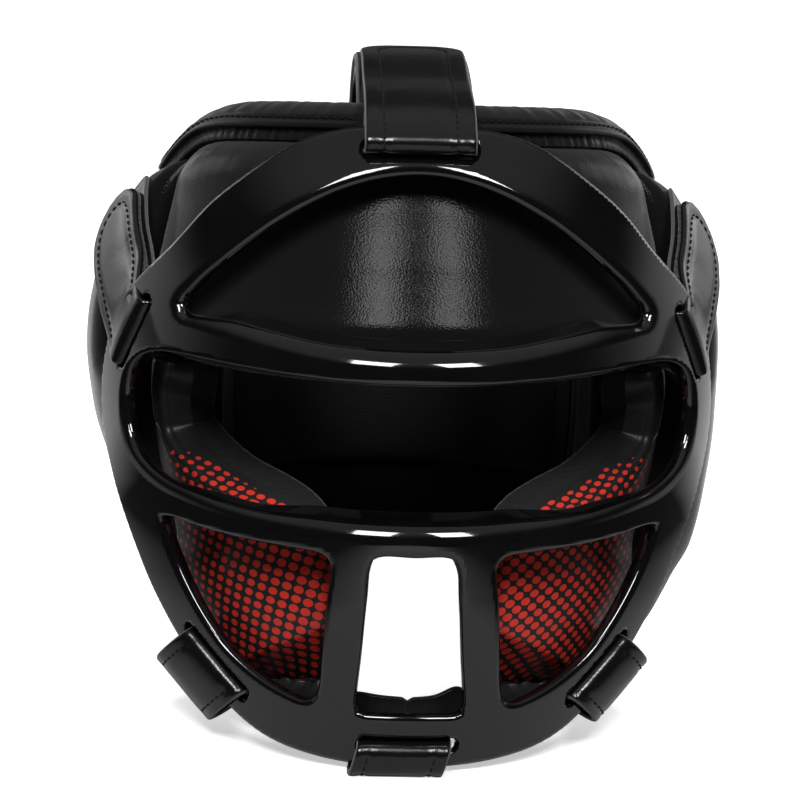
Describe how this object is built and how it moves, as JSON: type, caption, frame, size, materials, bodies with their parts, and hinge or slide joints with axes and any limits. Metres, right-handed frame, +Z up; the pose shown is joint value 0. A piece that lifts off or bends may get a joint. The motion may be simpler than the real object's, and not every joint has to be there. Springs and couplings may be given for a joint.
{
  "type": "full face boxing headgear",
  "caption": "Padded black headgear for sparring with a glossy moulded face cage strapped over the forehead, eyes, cheeks and chin.",
  "frame": {"origin": "on the floor under the middle of the bounding box, the headgear resting on its chin loop and side panels", "axes": "X across the face to the viewer's right, -Y the way the face looks, +Z up"},
  "size_m": [0.2298, 0.2686, 0.22],
  "materials": {
    "cage": "gloss black",
    "leather": "satin grained black",
    "printed_leather": "satin black with red printed dots",
    "strap": "semi-gloss stitched black",
    "lining": "matte brushed cloth"
  },
  "bodies": {
    "root": {"face_cage": "cage", "forehead_panel": "leather", "top_rim": "leather", "side_panel_right": "leather", "side_panel_left": "leather", "back_panel": "leather", "crown_strap": "leather", "chin_strap": "leather", "cheek_pad_right": "printed_leather", "cheek_pad_left": "printed_leather", "top_cage_strap": "strap", "side_tab_right": "strap", "side_tab_left": "strap", "lower_loop_right": "strap", "lower_loop_left": "strap", "chin_loop": "strap", "lining_right": "lining", "lining_left": "lining", "lining_back": "lining"}
  },
  "joints": []
}
